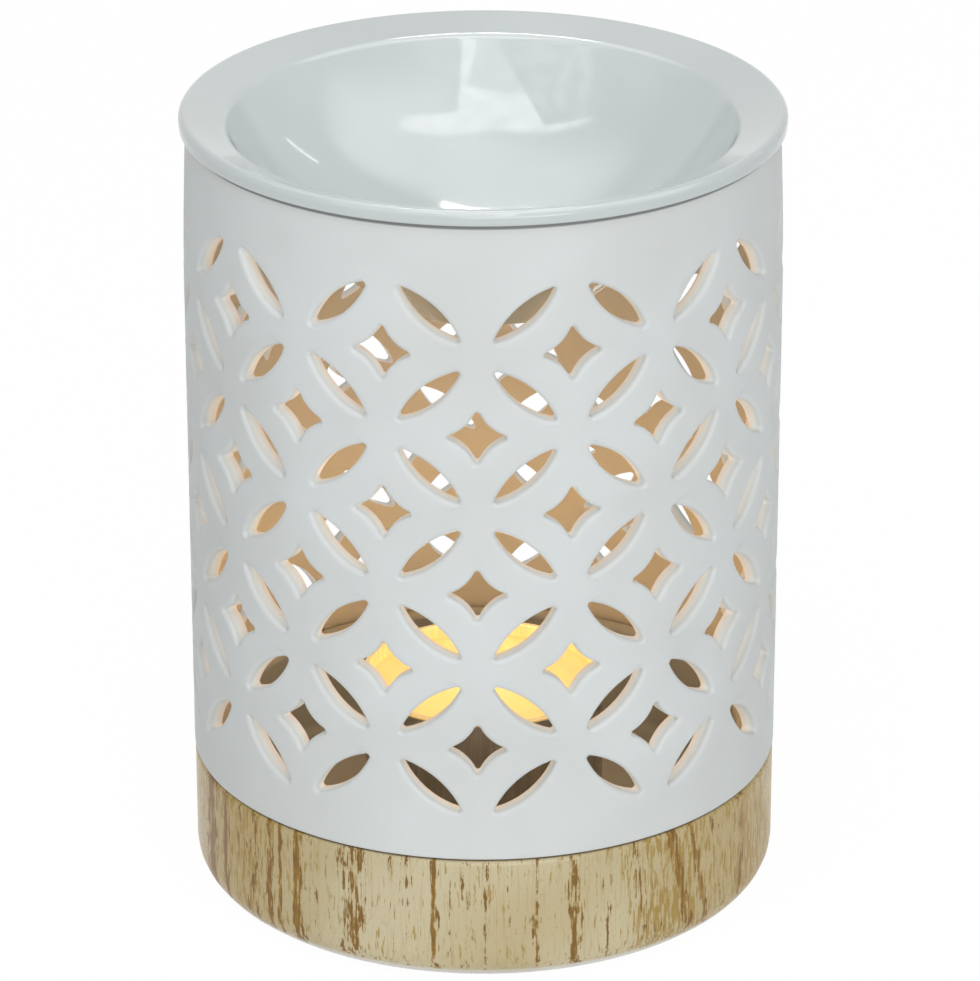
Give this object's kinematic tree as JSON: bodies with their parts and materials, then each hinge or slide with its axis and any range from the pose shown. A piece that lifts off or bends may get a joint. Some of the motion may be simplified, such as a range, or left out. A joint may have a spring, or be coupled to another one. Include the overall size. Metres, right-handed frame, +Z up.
{
  "type": "essential oil burner",
  "caption": "Cylindrical ceramic oil burner: a shallow glazed dish hangs in the top of a pierced shell, over a tealight in a round base.",
  "frame": {"origin": "centre of the base's foot, on the table that it stands on", "axes": "+Z up along the burner's own axis, -Y towards the front of the picture, +X to its right"},
  "size_m": [0.0906, 0.0906, 0.1239],
  "materials": {
    "base_glaze": "satin",
    "shell_bisque": "matte",
    "dish_glaze": "gloss",
    "cup_foil": "satin",
    "candle_wax": "satin",
    "wick_cotton": "matte",
    "sustainer_steel": "satin"
  },
  "bodies": {
    "base": {"base": "base_glaze"},
    "tealight": {"tealight_cup": "cup_foil", "wax": "candle_wax", "wick": "wick_cotton", "wick_sustainer": "sustainer_steel"},
    "shell": {"pierced_shell": "shell_bisque"},
    "dish": {"oil_dish": "dish_glaze"}
  },
  "joints": [
    {"name": "tealight_lift", "type": "slide", "parent": "base", "child": "tealight", "axis": [0, 0, 1], "range_m": [0, 0.04]},
    {"name": "shell_lift", "type": "slide", "parent": "base", "child": "shell", "axis": [0, 0, 1], "range_m": [0, 0.06]},
    {"name": "dish_lift", "type": "slide", "parent": "shell", "child": "dish", "axis": [0, 0, 1], "range_m": [0, 0.04]}
  ]
}
